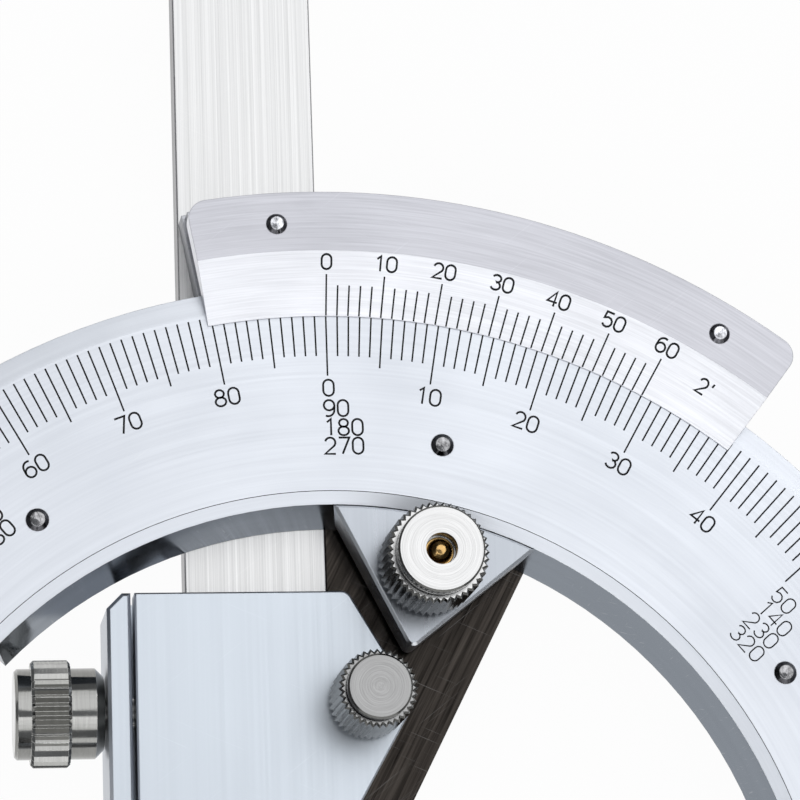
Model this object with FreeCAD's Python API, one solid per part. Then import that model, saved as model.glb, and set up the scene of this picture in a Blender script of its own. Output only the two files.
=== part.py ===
import FreeCAD, Part
import math
import os
from FreeCAD import Matrix, Vector

os.makedirs("parts", exist_ok=True)

# Universal bevel protractor with a vernier, set up with its square and its blade.
# Millimetres and degrees. +Z is towards the reader of the scale, z = 0 is the scale's face,
# and the origin is the centre that the scale turns about. Scale angles are read clockwise
# from +Y, which is where the zero of the vernier lies.

# Main scale: an arc-shaped plate with a tapered inner wall
SCALE_INNER_RADIUS = 49.1
SCALE_OUTER_RADIUS = 72.8
SCALE_THICKNESS = 5.8
SCALE_WALL_TAPER = 1.6
SCALE_START_ANGLE = -45.5
INNER_BEVEL_WIDTH = 1.4
OUTER_BEVEL_WIDTH = 2.3
BEVEL_DROP = 0.35
SCALE_END_SETBACK = 1.2

# Clearances
SLIDE_GAP = 0.05
FACE_GAP = 0.02
GUIDE_GAP = 0.3
RUNNING_GAP = 0.05
BRAKE_GAP = 0.15

# Sector plate, which carries everything that stands still
PLATE_THICKNESS = 4.0
PLATE_RIM_SETBACK = 1.3
PLATE_TIP_Y = 8.0
PLATE_EDGE_ANGLE = 27.8
PLATE_EDGE_OFFSET = 1.2
PLATE_CORNER_RADIUS = 1.0

# Vernier plate, which overlaps the rim of the scale, and the two packing pieces under it
VERNIER_START_ANGLE = -10.4
VERNIER_END_ANGLE = 38.0
VERNIER_OVERLAP = 3.5
VERNIER_BEVEL_WIDTH = 6.6
VERNIER_FLAT_WIDTH = 6.4
VERNIER_THICKNESS = 2.4
VERNIER_EDGE_THICKNESS = 0.12
VERNIER_CORNER_RADIUS = 2.0
SPACER_THICKNESS = 2.4
SPACER_SETBACK = 0.35

# Rivets and hidden screws
DOME_RIVET_RADIUS = 1.2
DOME_RIVET_HEIGHT = 0.6
DOME_SHOULDER_ANGLE = 50.0
SCALE_RIVET_INSET = 3.4
SCALE_RIVET_ANGLES = [-32.8, 12.2, 57.2]
VERNIER_RIVET_DOME_RADIUS = 1.1
VERNIER_RIVET_INSET = 3.4
VERNIER_RIVET_ANGLES = [-3.8, 32.1]
VERNIER_SCREW_INSET = 4.6
VERNIER_SCREW_ANGLES = [7.0, 21.0]
SCREW_SHANK_RADIUS = 1.25
SCREW_HEAD_RADIUS = 2.4
SCREW_SLOT_WIDTH = 0.6
SCREW_SLOT_DEPTH = 0.6
BLIND_COVER = 1.2

# Sector gear under the scale and the pinion that drives it
GEAR_MODULE = 0.6
GEAR_INSET = 12.8
PINION_TEETH = 14
PRESSURE_ANGLE = 20.0
TOOTH_ADDENDUM = 0.8
TOOTH_DEDENDUM = 1.0
TOOTH_BACKLASH = 0.10
GEAR_START_ANGLE = -38.0
GEAR_END_ANGLE = 72.0
GEAR_WIDTH = 5.6
GEAR_THICKNESS = 2.0
GEAR_CLEARANCE = 0.15
PINION_ANGLE = 14.0
PINION_SHAFT_RADIUS = 2.5
BUSH_WALL = 1.0
BUSH_FLANGE_RADIUS = 4.6
BUSH_FLANGE_THICKNESS = 0.6
PINION_KNOB_RADIUS = 7.0
PINION_KNOB_HEIGHT = 7.0
PINION_KNOB_TEETH = 36
KNOB_COLLAR_LENGTH = 1.5
KNOB_DISH_DEPTH = 1.4
KNOB_RIM_WIDTH = 2.2
KNOB_WEB = 1.2
KNOB_EDGE_BEVEL = 0.5
KNURL_DEPTH = 0.36
PINION_SCREW_RADIUS = 1.0
PINION_SCREW_HEAD = 1.0
PINION_SCREW_DEPTH = 2.8

# Brake: a stud in the sector plate, a shoe wedged on the scale's inner wall, and a nut
BRAKE_INSET = 5.7
BRAKE_ANGLE = 13.1
STUD_RADIUS = 1.5
STUD_DOME_RADIUS = 1.3
STUD_DOME_STEPS = 4
STUD_RECESS = 0.6
SHOE_THICKNESS = 4.6
SHOE_START_ANGLE = 0.23
SHOE_END_ANGLE = 25.9
SHOE_TIP_ANGLE = 13.2
SHOE_DEPTH = 14.6
SHOE_CHAMFER = 0.3
SHOE_TIP_RADIUS = 0.8
NUT_HEIGHT = 10.4
NUT_RADIUS = 5.34
NUT_TOP_RADIUS = 4.5
NUT_TEETH = 44
NUT_BORE_RADIUS = 1.64
NUT_COLLAR_HEIGHT = 1.0
NUT_RIM_HEIGHT = 2.1
RIM_GROOVE_WIDTH = 0.4
RIM_GROOVE_DEPTH = 0.45
RIM_BEVEL = 0.2
KNURL_BEVEL = 0.3
SPRING_RADIUS = 3.4
SPRING_THICKNESS = 0.35

# Square: a long leg and a foot
SQUARE_WIDTH = 15.0
SQUARE_TOP_Y = 115.0
SQUARE_FOOT_LENGTH = 62.0
SQUARE_FOOT_WIDTH = 15.0
SQUARE_RELIEF_RADIUS = 1.2
SQUARE_DROP = 12.05

# Blade
BLADE_LENGTH = 150.0
BLADE_WIDTH = 15.0
EDGE_CHAMFER = 0.3

# Base rule, which lies across the end of the scale
RULE_START_X = 4.0
RULE_TIP_HEIGHT = 1.5
RULE_HEIGHT = 9.7
RULE_TAPER_SETBACK = 7.1
RULE_OVERHANG = 7.2
RULE_SCREW_INSET = 5.6
RULE_SCREW_Y = 5.2

# Clamps. Their own frame has x across the held bar, from the side screw to the nose,
# y along the bar, and x = 0 on the joint between the bar and the plate it is held to.
CLAMP_HALF_WIDTH = 11.8
CLAMP_COVER_THICKNESS = 3.4
CLAMP_BACK_THICKNESS = 3.0
CLAMP_SHOULDER_X = 1.7
CLAMP_NOSE_X = 8.5
CLAMP_NOSE_RADIUS = 1.2
CLAMP_SIDE_ROOM = 6.0
CLAMP_WALL_THICKNESS = 2.5
CLAMP_WALL_GAP = 0.4
CLAMP_CHAMFER = 0.35
CLAMP_CORNER = 1.6
CLAMP_PIN_RADIUS = 1.0
CLAMP_PIN_Y = 9.6
PAD_THICKNESS = 4.6
PAD_HALF_LENGTH = 7.0
CLAMP_KNOB_X = 3.3
CLAMP_KNOB_HEIGHT = 11.0
CLAMP_KNOB_RADIUS = 4.1
CLAMP_KNOB_TOP_RADIUS = 3.35
CLAMP_KNOB_TEETH = 36
CLAMP_KNOB_COLLAR = 1.0
CLAMP_KNOB_RIM = 1.4
CLAMP_SCREW_RADIUS = 1.75
SIDE_SCREW_RADIUS = 1.75
SIDE_TIP_RADIUS = 1.2
SIDE_TIP_LENGTH = 2.2
SIDE_COLLAR_RADIUS = 4.75
SIDE_KNURL_RADIUS = 5.6
SIDE_KNURL_TEETH = 36
SIDE_KNURL_DEPTH = 0.6
SIDE_HEAD_GAP = 0.2
SIDE_FLARE_LENGTH = 0.9
SIDE_NECK_LENGTH = 2.6
SIDE_KNURL_LENGTH = 4.1
SIDE_CAP_LENGTH = 1.7
SECTOR_CLAMP_SETBACK = 20.6
BLADE_CLAMP_SETBACK = 29.5

# Levels that follow from the thicknesses and clearances
scale_bottom = -SCALE_THICKNESS
plate_top = scale_bottom - SLIDE_GAP
plate_bottom = plate_top - PLATE_THICKNESS
plate_middle = (plate_top + plate_bottom) / 2
bar_top = plate_top - SLIDE_GAP
bar_bottom = plate_bottom + SLIDE_GAP
rule_bottom = scale_bottom - (bar_top - bar_bottom)
cover_top = plate_top + CLAMP_COVER_THICKNESS
back_bottom = plate_bottom - CLAMP_BACK_THICKNESS
lip_bottom = SLIDE_GAP
spacer_bottom = lip_bottom - SPACER_THICKNESS
vernier_top = lip_bottom + VERNIER_THICKNESS

# Radii and places that follow from the two rims of the scale
vernier_edge_radius = SCALE_OUTER_RADIUS - VERNIER_OVERLAP
vernier_flat_radius = vernier_edge_radius + VERNIER_BEVEL_WIDTH
vernier_outer_radius = vernier_flat_radius + VERNIER_FLAT_WIDTH
vernier_rivet_radius = vernier_outer_radius - VERNIER_RIVET_INSET
vernier_screw_radius = vernier_outer_radius - VERNIER_SCREW_INSET
packing_inner_radius = SCALE_OUTER_RADIUS + GUIDE_GAP
plate_outer_radius = vernier_outer_radius - PLATE_RIM_SETBACK
gear_teeth = round(2 * (SCALE_OUTER_RADIUS - GEAR_INSET) / GEAR_MODULE)
gear_pitch_radius = GEAR_MODULE * gear_teeth / 2
gear_tip_radius = gear_pitch_radius + TOOTH_ADDENDUM * GEAR_MODULE
gear_inner_radius = gear_pitch_radius - GEAR_WIDTH
scale_rivet_radius = gear_pitch_radius - SCALE_RIVET_INSET
pinion_pitch_radius = GEAR_MODULE * PINION_TEETH / 2
pinion_tip_radius = pinion_pitch_radius + TOOTH_ADDENDUM * GEAR_MODULE
pinion_centre_radius = gear_pitch_radius + pinion_pitch_radius
groove_outer_radius = pinion_centre_radius + pinion_tip_radius + GUIDE_GAP
brake_radius = SCALE_INNER_RADIUS - BRAKE_INSET
shoe_tip_radius = SCALE_INNER_RADIUS - SHOE_DEPTH
rule_end_x = SCALE_OUTER_RADIUS + RULE_OVERHANG
rule_taper_end_x = SCALE_INNER_RADIUS - RULE_TAPER_SETBACK
rule_screw_x = [SCALE_INNER_RADIUS + RULE_SCREW_INSET, SCALE_OUTER_RADIUS - RULE_SCREW_INSET]
sector_clamp_y = SCALE_INNER_RADIUS - SECTOR_CLAMP_SETBACK
blade_clamp_x = BLADE_CLAMP_SETBACK - SQUARE_FOOT_LENGTH
square_foot_bottom = -SQUARE_DROP
knob_bottom = plate_bottom - BUSH_FLANGE_THICKNESS - SLIDE_GAP - PINION_KNOB_HEIGHT
shaft_end = knob_bottom + KNOB_DISH_DEPTH + KNOB_WEB


def on_scale(radius, angle, z=0.0):
    """The point at a radius and a scale angle, which is clockwise from +Y."""
    turn = math.radians(angle)
    return Vector(radius * math.sin(turn), radius * math.cos(turn), z)


brake_axis = on_scale(brake_radius, BRAKE_ANGLE)
pinion_axis = on_scale(pinion_centre_radius, PINION_ANGLE)


def export(name, shape):
    """Write one sub-part."""
    shape.exportStep("parts/" + name + ".step")


def prism(points, low, high):
    """A straight-sided solid between two levels, from its corners in plan."""
    corners = [Vector(x, y, low) for x, y in points]
    corners.append(corners[0])
    face = Part.Face(Part.makePolygon(corners))
    return face.extrude(Vector(0, 0, high - low))


def disc(centre, radius, low, high):
    """A round bar along Z."""
    return Part.makeCylinder(radius, high - low, Vector(centre.x, centre.y, low))


def turned(profile, centre=Vector(0, 0, 0)):
    """A solid turned about Z from (radius, z) points that start and end on the axis."""
    points = [Vector(r, 0, z) for r, z in profile]
    points.append(points[0])
    face = Part.Face(Part.makePolygon(points))
    solid = face.revolve(Vector(0, 0, 0), Vector(0, 0, 1), 360)
    solid.translate(Vector(centre.x, centre.y, 0))
    return solid


def swept_arc(profile, start_angle, end_angle):
    """A solid with a (radius, z) section, swept about the origin between two scale angles."""
    points = [Vector(r, 0, z) for r, z in profile]
    points.append(points[0])
    face = Part.Face(Part.makePolygon(points))
    face.rotate(Vector(0, 0, 0), Vector(0, 0, 1), 90 - end_angle)
    return face.revolve(Vector(0, 0, 0), Vector(0, 0, 1), end_angle - start_angle)


def ring_section(inner, outer, low, high):
    """A rectangular section for swept_arc."""
    return [(inner, low), (outer, low), (outer, high), (inner, high)]


def ridged(radius, depth, ridges, low, high, bevel_low, bevel_high):
    """A straight knurl about Z, drawn in by a bevel at an end where one is given."""
    levels = [(low, bevel_low), (low + bevel_low, 0), (high - bevel_high, 0), (high, bevel_high)]
    sections = []
    for level, shrink in sorted(set(levels)):
        corners = []
        for index in range(ridges * 2):
            turn = math.pi * index / ridges
            reach = radius - shrink - (0 if index % 2 == 0 else depth)
            corners.append(Vector(reach * math.cos(turn), reach * math.sin(turn), level))
        corners.append(corners[0])
        sections.append(Part.makePolygon(corners))
    return Part.makeLoft(sections, True, True)


def fillet_upright(shape, radius, points):
    """Round the upright edges that stand nearest to the given (x, y) points."""
    chosen = []
    uprights = []
    for edge in shape.Edges:
        ends = [v.Point for v in edge.Vertexes]
        if len(ends) == 2 and abs(ends[0].x - ends[1].x) + abs(ends[0].y - ends[1].y) < 1e-6:
            uprights.append((edge, ends[0]))
    for x, y in points:
        chosen.append(min(uprights, key=lambda item: math.hypot(item[1].x - x, item[1].y - y))[0])
    return shape.makeFillet(radius, chosen)


def chamfer_level(shape, size, level):
    """Bevel the outer edges that lie flat at one level."""
    chosen = []
    for edge in shape.Edges:
        box = edge.BoundBox
        if abs(box.ZMin - level) < 1e-4 and abs(box.ZMax - level) < 1e-4:
            chosen.append(edge)
    return shape.makeChamfer(size, chosen)


def countersunk_screw(centre, head_face, tip):
    """A slotted countersunk screw whose head faces down, at the level head_face."""
    head_depth = SCREW_HEAD_RADIUS - SCREW_SHANK_RADIUS
    screw = turned([
        (0, head_face), (SCREW_HEAD_RADIUS, head_face),
        (SCREW_SHANK_RADIUS, head_face + head_depth), (SCREW_SHANK_RADIUS, tip), (0, tip)], centre)
    slot = Part.makeBox(
        2 * SCREW_HEAD_RADIUS, SCREW_SLOT_WIDTH, SCREW_SLOT_DEPTH,
        Vector(centre.x - SCREW_HEAD_RADIUS, centre.y - SCREW_SLOT_WIDTH / 2, head_face))
    return screw.cut(slot)


def countersunk_hole(centre, head_face, tip):
    """The seat that countersunk_screw fills."""
    head_depth = SCREW_HEAD_RADIUS - SCREW_SHANK_RADIUS
    return turned([
        (0, head_face), (SCREW_HEAD_RADIUS, head_face),
        (SCREW_SHANK_RADIUS, head_face + head_depth), (SCREW_SHANK_RADIUS, tip), (0, tip)], centre)


def dome_rivet(centre, radius, seat, foot):
    """A rivet with a low dome above the level seat, and its flush tail at foot."""
    shoulder_radius = radius * math.cos(math.radians(DOME_SHOULDER_ANGLE))
    shoulder = seat + DOME_RIVET_HEIGHT * math.sin(math.radians(DOME_SHOULDER_ANGLE))
    return turned([
        (0, foot), (radius, foot), (radius, seat),
        (shoulder_radius, shoulder), (0, seat + DOME_RIVET_HEIGHT)], centre)


def tooth_half_angle(teeth, radius):
    """Half the angle that a tooth spans at a radius, in radians."""
    pitch_radius = GEAR_MODULE * teeth / 2
    base_radius = pitch_radius * math.cos(math.radians(PRESSURE_ANGLE))
    thickness = math.pi * GEAR_MODULE / 2 - TOOTH_BACKLASH / 2
    pitch_involute = math.tan(math.radians(PRESSURE_ANGLE)) - math.radians(PRESSURE_ANGLE)
    pressure = math.acos(min(1.0, base_radius / radius))
    return thickness / (2 * pitch_radius) + pitch_involute - (math.tan(pressure) - pressure)


def tooth_outline(teeth, centre_turn, flank_steps):
    """The (x, y) corners of one tooth, from root to tip to root, anticlockwise."""
    pitch_radius = GEAR_MODULE * teeth / 2
    root = pitch_radius - TOOTH_DEDENDUM * GEAR_MODULE
    tip = pitch_radius + TOOTH_ADDENDUM * GEAR_MODULE
    base = pitch_radius * math.cos(math.radians(PRESSURE_ANGLE))
    start = max(root, base)
    flank = [(root, tooth_half_angle(teeth, start))]
    for step in range(flank_steps + 1):
        radius = start + (tip - start) * step / flank_steps
        if radius > root + 1e-6:
            flank.append((radius, tooth_half_angle(teeth, radius)))
    corners = []
    for radius, half in flank:
        turn = centre_turn - half
        corners.append((radius * math.cos(turn), radius * math.sin(turn)))
    for radius, half in reversed(flank):
        turn = centre_turn + half
        corners.append((radius * math.cos(turn), radius * math.sin(turn)))
    return corners


# ---- The arc-shaped scale and what turns with it ---------------------------------

def rule_outline():
    """The base rule in plan, from the tip along the measuring face."""
    return [
        (RULE_START_X, 0), (rule_end_x, 0), (rule_end_x, RULE_HEIGHT),
        (rule_taper_end_x, RULE_HEIGHT), (RULE_START_X, RULE_TIP_HEIGHT)]


def main_scale():
    """The scale plate: tapered inner wall, bevelled rims, and a groove for the gear."""
    inner_bottom = SCALE_INNER_RADIUS - SCALE_WALL_TAPER
    plate = swept_arc([
        (inner_bottom, scale_bottom), (SCALE_OUTER_RADIUS, scale_bottom),
        (SCALE_OUTER_RADIUS, -BEVEL_DROP), (SCALE_OUTER_RADIUS - OUTER_BEVEL_WIDTH, 0),
        (SCALE_INNER_RADIUS + INNER_BEVEL_WIDTH, 0), (SCALE_INNER_RADIUS, -BEVEL_DROP)],
        SCALE_START_ANGLE, 90)
    reach = 2 * SCALE_OUTER_RADIUS
    below = Part.makeBox(
        reach, SCALE_END_SETBACK + reach, 3 * SCALE_THICKNESS, Vector(0, -reach, -2 * SCALE_THICKNESS))
    plate = plate.cut(below)
    groove = swept_arc(
        ring_section(gear_inner_radius, groove_outer_radius, scale_bottom, groove_top()),
        GEAR_START_ANGLE, GEAR_END_ANGLE)
    plate = plate.cut(groove)
    for angle in SCALE_RIVET_ANGLES:
        plate = plate.cut(disc(on_scale(scale_rivet_radius, angle), DOME_RIVET_RADIUS, groove_top(), 0))
    for x in rule_screw_x:
        plate = plate.cut(disc(Vector(x, RULE_SCREW_Y, 0), SCREW_SHANK_RADIUS, scale_bottom, -BLIND_COVER))
    return plate


def groove_top():
    """The level of the roof of the gear's groove."""
    return scale_bottom + GEAR_CLEARANCE + GEAR_THICKNESS


def sector_gear():
    """The toothed arc that sits in the scale's groove, with its teeth outwards."""
    low = scale_bottom + GEAR_CLEARANCE
    tooth_pitch = 360 / gear_teeth
    first = math.ceil((GEAR_START_ANGLE - PINION_ANGLE) / tooth_pitch + 0.5)
    last = math.floor((GEAR_END_ANGLE - PINION_ANGLE) / tooth_pitch - 0.5)
    corners = []
    for index in range(last, first - 1, -1):
        scale_angle = PINION_ANGLE + (index + 0.5) * tooth_pitch
        if scale_angle + tooth_pitch / 2 < GEAR_END_ANGLE:
            corners.extend(tooth_outline(gear_teeth, math.radians(90 - scale_angle), 1))
    span_end = math.degrees(math.pi / 2 - math.atan2(corners[0][1], corners[0][0]))
    span_start = math.degrees(math.pi / 2 - math.atan2(corners[-1][1], corners[-1][0]))
    inner_end = on_scale(gear_inner_radius, span_end, low)
    inner_middle = on_scale(gear_inner_radius, (span_end + span_start) / 2, low)
    inner_start = on_scale(gear_inner_radius, span_start, low)
    tops = [Vector(x, y, low) for x, y in corners]
    edges = [Part.makeLine(a, b) for a, b in zip(tops, tops[1:])]
    edges.append(Part.makeLine(tops[-1], inner_start))
    edges.append(Part.Arc(inner_start, inner_middle, inner_end).toShape())
    edges.append(Part.makeLine(inner_end, tops[0]))
    gear = Part.Face(Part.Wire(edges)).extrude(Vector(0, 0, GEAR_THICKNESS))
    for angle in SCALE_RIVET_ANGLES:
        centre = on_scale(scale_rivet_radius, angle)
        gear = gear.cut(disc(centre, DOME_RIVET_RADIUS, low, low + GEAR_THICKNESS))
    return gear


def scale_rivets():
    """The three rivets that hold the sector gear to the scale."""
    foot = scale_bottom + GEAR_CLEARANCE
    rivets = []
    for angle in SCALE_RIVET_ANGLES:
        rivets.append(dome_rivet(on_scale(scale_rivet_radius, angle), DOME_RIVET_RADIUS, 0, foot))
    return Part.makeCompound(rivets)


def base_rule():
    """The rule that the scale carries, with its measuring face on the line y = 0."""
    rule = prism(rule_outline(), rule_bottom, scale_bottom)
    relief = swept_arc(
        ring_section(SCALE_OUTER_RADIUS, 2 * SCALE_OUTER_RADIUS, bar_top, scale_bottom), 0, 180)
    rule = rule.cut(relief)
    for x in rule_screw_x:
        rule = rule.cut(countersunk_hole(Vector(x, RULE_SCREW_Y, 0), rule_bottom, scale_bottom))
    return rule


def base_rule_screws():
    """Two countersunk screws, from the back through the rule into the scale."""
    screws = []
    for x in rule_screw_x:
        screws.append(countersunk_screw(Vector(x, RULE_SCREW_Y, 0), rule_bottom, -BLIND_COVER))
    return Part.makeCompound(screws)


# ---- The sector plate and what is fixed to it ------------------------------------

def plate_edge_point(y):
    """The point of the sector plate's slanting edge at a height y."""
    slant = math.radians(PLATE_EDGE_ANGLE)
    return (y * math.tan(slant) - PLATE_EDGE_OFFSET / math.cos(slant), y)


def sector_plate():
    """A fan-shaped plate: one edge guides the square, the other slants away from it."""
    slant = math.radians(PLATE_EDGE_ANGLE)
    along = math.sqrt(plate_outer_radius ** 2 - PLATE_EDGE_OFFSET ** 2)
    corner_x = along * math.sin(slant) - PLATE_EDGE_OFFSET * math.cos(slant)
    corner_y = along * math.cos(slant) + PLATE_EDGE_OFFSET * math.sin(slant)
    corner_angle = math.degrees(math.atan2(corner_x, corner_y))
    tip = plate_edge_point(PLATE_TIP_Y)
    left_top = Vector(0, plate_outer_radius, plate_bottom)
    right_top = Vector(corner_x, corner_y, plate_bottom)
    right_tip = Vector(tip[0], tip[1], plate_bottom)
    left_tip = Vector(0, PLATE_TIP_Y, plate_bottom)
    arc_middle = on_scale(plate_outer_radius, corner_angle / 2, plate_bottom)
    outline = Part.Wire([
        Part.makeLine(left_tip, right_tip), Part.makeLine(right_tip, right_top),
        Part.Arc(right_top, arc_middle, left_top).toShape(), Part.makeLine(left_top, left_tip)])
    plate = Part.Face(outline).extrude(Vector(0, 0, PLATE_THICKNESS))
    plate = fillet_upright(plate, PLATE_CORNER_RADIUS, [tip, (corner_x, corner_y)])
    plate = plate.cut(disc(brake_axis, STUD_RADIUS, plate_bottom, plate_top))
    plate = plate.cut(disc(pinion_axis, PINION_SHAFT_RADIUS + BUSH_WALL, plate_bottom, plate_top))
    screw_hole = disc(sector_clamp_knob_axis(), CLAMP_SCREW_RADIUS + RUNNING_GAP, plate_bottom, plate_top)
    plate = plate.cut(screw_hole)
    for angle in VERNIER_SCREW_ANGLES:
        centre = on_scale(vernier_screw_radius, angle)
        plate = plate.cut(countersunk_hole(centre, plate_bottom, plate_top))
    return plate


def packing(low, high, setback):
    """A packing piece between the sector plate and the vernier, outside the scale's rim."""
    end_turn = math.degrees(setback / vernier_outer_radius)
    piece = swept_arc(
        ring_section(packing_inner_radius, vernier_outer_radius - setback, low, high),
        VERNIER_START_ANGLE + end_turn, VERNIER_END_ANGLE - end_turn)
    for angle in VERNIER_RIVET_ANGLES:
        piece = piece.cut(disc(on_scale(vernier_rivet_radius, angle), VERNIER_RIVET_DOME_RADIUS, low, high))
    return piece


def vernier_support():
    """The lower packing piece, screwed to the sector plate from behind."""
    piece = packing(plate_top, spacer_bottom, 0)
    for angle in VERNIER_SCREW_ANGLES:
        centre = on_scale(vernier_screw_radius, angle)
        piece = piece.cut(disc(centre, SCREW_SHANK_RADIUS, plate_top, spacer_bottom))
    return piece


def vernier_spacer():
    """The upper packing piece, a little smaller than its neighbours."""
    return packing(spacer_bottom, lip_bottom, SPACER_SETBACK)


def vernier_plate():
    """The vernier: a flat rim, and a bevel that runs down to the face of the scale."""
    plate = swept_arc([
        (vernier_edge_radius, lip_bottom), (vernier_outer_radius, lip_bottom),
        (vernier_outer_radius, vernier_top), (vernier_flat_radius, vernier_top),
        (vernier_edge_radius, lip_bottom + VERNIER_EDGE_THICKNESS)],
        VERNIER_START_ANGLE, VERNIER_END_ANGLE)
    left = on_scale(vernier_outer_radius, VERNIER_START_ANGLE)
    right = on_scale(vernier_outer_radius, VERNIER_END_ANGLE)
    plate = fillet_upright(plate, VERNIER_CORNER_RADIUS, [(left.x, left.y), (right.x, right.y)])
    for angle in VERNIER_RIVET_ANGLES:
        centre = on_scale(vernier_rivet_radius, angle)
        plate = plate.cut(disc(centre, VERNIER_RIVET_DOME_RADIUS, lip_bottom, vernier_top))
    return plate


def vernier_rivets():
    """Two rivets through the vernier and its packing."""
    rivets = []
    for angle in VERNIER_RIVET_ANGLES:
        centre = on_scale(vernier_rivet_radius, angle)
        rivets.append(dome_rivet(centre, VERNIER_RIVET_DOME_RADIUS, vernier_top, plate_top))
    return Part.makeCompound(rivets)


def vernier_screws():
    """Two countersunk screws, from the back through the sector plate into the support."""
    screws = []
    for angle in VERNIER_SCREW_ANGLES:
        centre = on_scale(vernier_screw_radius, angle)
        screws.append(countersunk_screw(centre, plate_bottom, spacer_bottom))
    return Part.makeCompound(screws)


# ---- The pinion and its knob ------------------------------------------------------

def pinion_bush():
    """A flanged bush, pressed into the sector plate from the back."""
    outer = PINION_SHAFT_RADIUS + BUSH_WALL
    bore = PINION_SHAFT_RADIUS + RUNNING_GAP
    body = disc(pinion_axis, outer, plate_bottom, plate_top)
    flange = disc(pinion_axis, BUSH_FLANGE_RADIUS, plate_bottom - BUSH_FLANGE_THICKNESS, plate_bottom)
    hole = disc(pinion_axis, bore, plate_bottom - BUSH_FLANGE_THICKNESS, plate_top)
    return body.fuse(flange).removeSplitter().cut(hole)


def pinion_shaft():
    """The pinion and its shaft, in one piece, with a tapped hole in the end."""
    teeth_low = plate_top + GEAR_CLEARANCE
    teeth_high = groove_top() - GEAR_CLEARANCE
    toward_gear = math.radians(-90 - PINION_ANGLE)
    corners = []
    for index in range(PINION_TEETH):
        corners.extend(tooth_outline(PINION_TEETH, toward_gear + 2 * math.pi * index / PINION_TEETH, 2))
    pinion = prism(corners, teeth_low, teeth_high)
    pinion.translate(Vector(pinion_axis.x, pinion_axis.y, 0))
    shaft = disc(pinion_axis, PINION_SHAFT_RADIUS, shaft_end, teeth_low)
    hole = disc(pinion_axis, PINION_SCREW_RADIUS, shaft_end, shaft_end + PINION_SCREW_DEPTH)
    return pinion.fuse(shaft).removeSplitter().cut(hole)


def pinion_knob():
    """The fine-setting knob behind the sector plate, knurled, with a dished end."""
    high = knob_bottom + PINION_KNOB_HEIGHT
    collar = high - KNOB_COLLAR_LENGTH
    dish_radius = PINION_KNOB_RADIUS - KNOB_RIM_WIDTH
    grip = ridged(
        PINION_KNOB_RADIUS, KNURL_DEPTH, PINION_KNOB_TEETH, knob_bottom, collar, KNOB_EDGE_BEVEL, 0)
    neck = Part.makeCylinder(BUSH_FLANGE_RADIUS, KNOB_COLLAR_LENGTH, Vector(0, 0, collar))
    dish = Part.makeCylinder(dish_radius, KNOB_DISH_DEPTH, Vector(0, 0, knob_bottom))
    bore = Part.makeCylinder(PINION_SHAFT_RADIUS, high - shaft_end, Vector(0, 0, shaft_end))
    screw_hole = Part.makeCylinder(PINION_SCREW_RADIUS, KNOB_WEB, Vector(0, 0, shaft_end - KNOB_WEB))
    knob = grip.fuse(neck).removeSplitter().cut(dish).cut(bore).cut(screw_hole)
    knob.translate(Vector(pinion_axis.x, pinion_axis.y, 0))
    return knob


def pinion_knob_screw():
    """The cheese-head screw, sunk in the dish, that holds the knob on the shaft."""
    seat = shaft_end - KNOB_WEB
    face = seat - PINION_SCREW_HEAD
    head_radius = 2 * PINION_SCREW_RADIUS
    head = disc(pinion_axis, head_radius, face, seat)
    shank = disc(pinion_axis, PINION_SCREW_RADIUS, seat, shaft_end + PINION_SCREW_DEPTH)
    slot = Part.makeBox(
        2 * head_radius, SCREW_SLOT_WIDTH, SCREW_SLOT_DEPTH,
        Vector(pinion_axis.x - head_radius, pinion_axis.y - SCREW_SLOT_WIDTH / 2, face))
    return head.fuse(shank).removeSplitter().cut(slot)


# ---- The brake --------------------------------------------------------------------

def brake_stud():
    """The brass stud in the sector plate, with a domed end inside the nut."""
    top = NUT_HEIGHT - STUD_RECESS
    shank_top = top - STUD_DOME_RADIUS
    profile = [(0, plate_bottom), (STUD_RADIUS, plate_bottom), (STUD_RADIUS, shank_top)]
    for step in range(STUD_DOME_STEPS + 1):
        turn = math.radians(90 * step / STUD_DOME_STEPS)
        profile.append((STUD_DOME_RADIUS * math.cos(turn), shank_top + STUD_DOME_RADIUS * math.sin(turn)))
    profile[-1] = (0, top)
    return turned(profile, brake_axis)


def brake_spring():
    """The dished washer that lifts the shoe when the nut is slackened."""
    bore = STUD_RADIUS + RUNNING_GAP
    low = plate_top
    high = -SHOE_THICKNESS
    points = [
        (bore, high - SPRING_THICKNESS), (SPRING_RADIUS, low),
        (SPRING_RADIUS, low + SPRING_THICKNESS), (bore, high)]
    ring = swept_arc(points, 0, 360)
    ring.translate(Vector(brake_axis.x, brake_axis.y, 0))
    return ring


def shoe_wall_radius(z):
    """The radius of the shoe's conical face, which follows the scale's inner wall."""
    slope = SCALE_WALL_TAPER / (SCALE_THICKNESS - BEVEL_DROP)
    return SCALE_INNER_RADIUS + (z + BEVEL_DROP) * slope - BRAKE_GAP


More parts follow.
